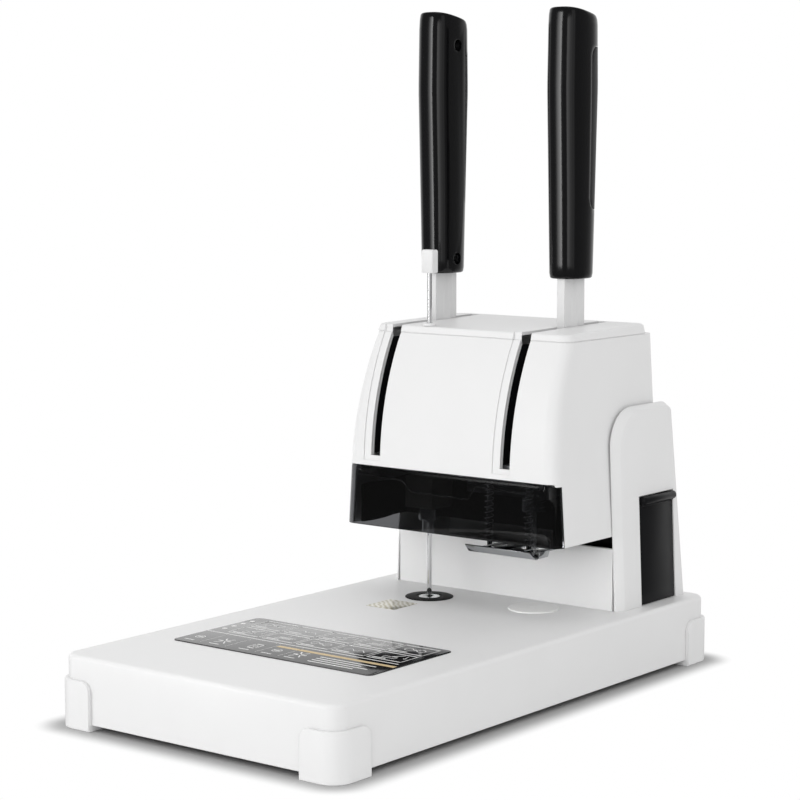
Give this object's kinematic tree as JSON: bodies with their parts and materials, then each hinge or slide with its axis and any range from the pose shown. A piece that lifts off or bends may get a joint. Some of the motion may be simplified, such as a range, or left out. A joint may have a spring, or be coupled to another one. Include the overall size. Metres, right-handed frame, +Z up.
{
  "type": "document riveting machine",
  "caption": "Desk machine with two hand levers that drills a stack of paper and rivets it with a plastic tube over a guide rod.",
  "frame": {"origin": "on the ground, below the middle of the base", "axes": "front is -Y, where the paper goes in; right is +X; up is +Z"},
  "size_m": [0.256, 0.465, 0.5083],
  "materials": {
    "white_paint": "satin white paint",
    "arm_paint": "satin white paint",
    "white_plastic": "satin white plastic",
    "zinc_sheet": "zinc-plated sheet",
    "frame_steel": "milled steel",
    "bright_steel": "ground steel",
    "spring_steel": "drawn spring wire",
    "screw_steel": "blackened screw",
    "chrome": "polished chrome plate",
    "bronze": "turned bronze",
    "rubber": "matte rubber",
    "black_plastic": "fine-grained black plastic",
    "black_gloss": "gloss black plastic",
    "label_black": "gloss printed label",
    "foil": "foil patch",
    "board": "glass-epoxy board",
    "heater_cast": "cast heater block",
    "cast_alloy": "cast alloy",
    "motor_paint": "black enamel",
    "pad_white": "white cutting plastic",
    "smoked": "smoked clear plastic"
  },
  "bodies": {
    "frame": {"base_cover": "white_paint", "base_floor": "zinc_sheet", "base_bed": "frame_steel", "guard_front_left": "white_plastic", "guard_front_right": "white_plastic", "guard_back_left": "white_plastic", "guard_back_right": "white_plastic", "rubber_feet": "rubber", "instruction_plate": "label_black", "foil_patch": "foil", "lower_die_ring": "black_plastic", "lower_die": "bright_steel", "control_board": "board", "column_housing": "white_paint", "column_back_cover": "white_paint", "column_post": "frame_steel", "power_inlet": "black_plastic", "switch_frame": "black_plastic", "head_shell": "white_paint", "head_cap": "white_paint", "head_frame": "frame_steel", "inner_liner": "black_plastic", "cover_pins": "black_plastic", "lever_shaft": "bright_steel", "shaft_spacers": "bronze", "ram_bush": "bronze", "guide_columns": "bright_steel", "guide_collar": "white_plastic"},
    "rivet_lever": {"rivet_lever_arm": "arm_paint", "rivet_pinion": "bright_steel", "rivet_grip": "black_gloss", "rivet_grip_pad": "black_gloss", "rivet_grip_screws": "screw_steel"},
    "punch_lever": {"punch_lever_arm": "arm_paint", "punch_pinion": "bright_steel", "punch_grip": "black_gloss", "punch_grip_pad": "black_gloss", "punch_grip_screws": "screw_steel"},
    "rivet_ram": {"rivet_ram": "bright_steel", "die_heater": "heater_cast", "upper_die": "bright_steel"},
    "drill_carriage": {"drill_carriage": "cast_alloy", "drill_motor": "motor_paint", "drive_belt": "rubber", "press_spring_left": "spring_steel", "press_spring_right": "spring_steel"},
    "drill_spindle": {"drill_spindle": "bright_steel", "hollow_drill": "bright_steel"},
    "motor_shaft": {"motor_pulley": "bright_steel"},
    "press_foot": {"press_foot": "chrome", "foot_rods": "bright_steel"},
    "guide_rod": {"guide_rod": "bright_steel", "guide_knob": "white_plastic"},
    "waste_bin": {"waste_bin": "black_plastic"},
    "cutting_pad": {"cutting_pad": "pad_white"},
    "smoked_cover": {"smoked_cover": "smoked"},
    "power_switch": {"power_switch": "black_plastic"}
  },
  "joints": [
    {"name": "rivet_lever_turn", "type": "hinge", "parent": "frame", "child": "rivet_lever", "pos_m": [-0.07, 0.1405, 0.19], "axis": [1, 0, 0], "range_deg": [0, 85], "stiffness_Nm_per_rad": 1.1, "springref_deg": -45.84},
    {"name": "punch_lever_turn", "type": "hinge", "parent": "frame", "child": "punch_lever", "pos_m": [0.053, 0.1405, 0.19], "axis": [1, 0, 0], "range_deg": [0, 75.5], "stiffness_Nm_per_rad": 1.2, "springref_deg": -51.57},
    {"name": "rivet_ram_slide", "type": "slide", "parent": "frame", "child": "rivet_ram", "axis": [0, 0, -1], "range_m": [0, 0.05045]},
    {"name": "drill_carriage_slide", "type": "slide", "parent": "frame", "child": "drill_carriage", "axis": [0, 0, -1], "range_m": [0, 0.04481]},
    {"name": "drill_spin", "type": "hinge", "parent": "drill_carriage", "child": "drill_spindle", "pos_m": [0.049, 0.099, 0.14], "axis": [0, 0, 1], "continuous": true},
    {"name": "motor_spin", "type": "hinge", "parent": "drill_carriage", "child": "motor_shaft", "pos_m": [0.016, 0.099, 0.16], "axis": [0, 0, 1], "continuous": true},
    {"name": "press_foot_slide", "type": "slide", "parent": "drill_carriage", "child": "press_foot", "axis": [0, 0, 1], "range_m": [0, 0.034], "stiffness_N_per_m": 60, "springref_m": -0.012, "deforming": ["press_spring_left", "press_spring_right"]},
    {"name": "guide_rod_lift", "type": "slide", "parent": "frame", "child": "guide_rod", "axis": [0, 0, 1], "range_m": [0, 0.06]},
    {"name": "waste_bin_slide", "type": "slide", "parent": "frame", "child": "waste_bin", "axis": [1, 0, 0], "range_m": [0, 0.066]},
    {"name": "cutting_pad_turn", "type": "hinge", "parent": "frame", "child": "cutting_pad", "pos_m": [0.049, 0.099, 0.051], "axis": [0, 0, 1], "continuous": true},
    {"name": "smoked_cover_tilt", "type": "hinge", "parent": "frame", "child": "smoked_cover", "pos_m": [0, 0.0554, 0.1547], "axis": [-1, 0, 0], "range_deg": [0, 72]},
    {"name": "power_switch_rock", "type": "hinge", "parent": "frame", "child": "power_switch", "pos_m": [-0.02, 0.21168, 0.07867], "axis": [1, 0, 0], "range_deg": [0, 12]}
  ],
  "couplings": [
    {"joint": "rivet_ram_slide", "follows": "rivet_lever_turn", "m_per_rad": 0.034},
    {"joint": "drill_carriage_slide", "follows": "punch_lever_turn", "m_per_rad": 0.034},
    {"joint": "motor_spin", "follows": "drill_spin", "ratio": 1.375}
  ]
}
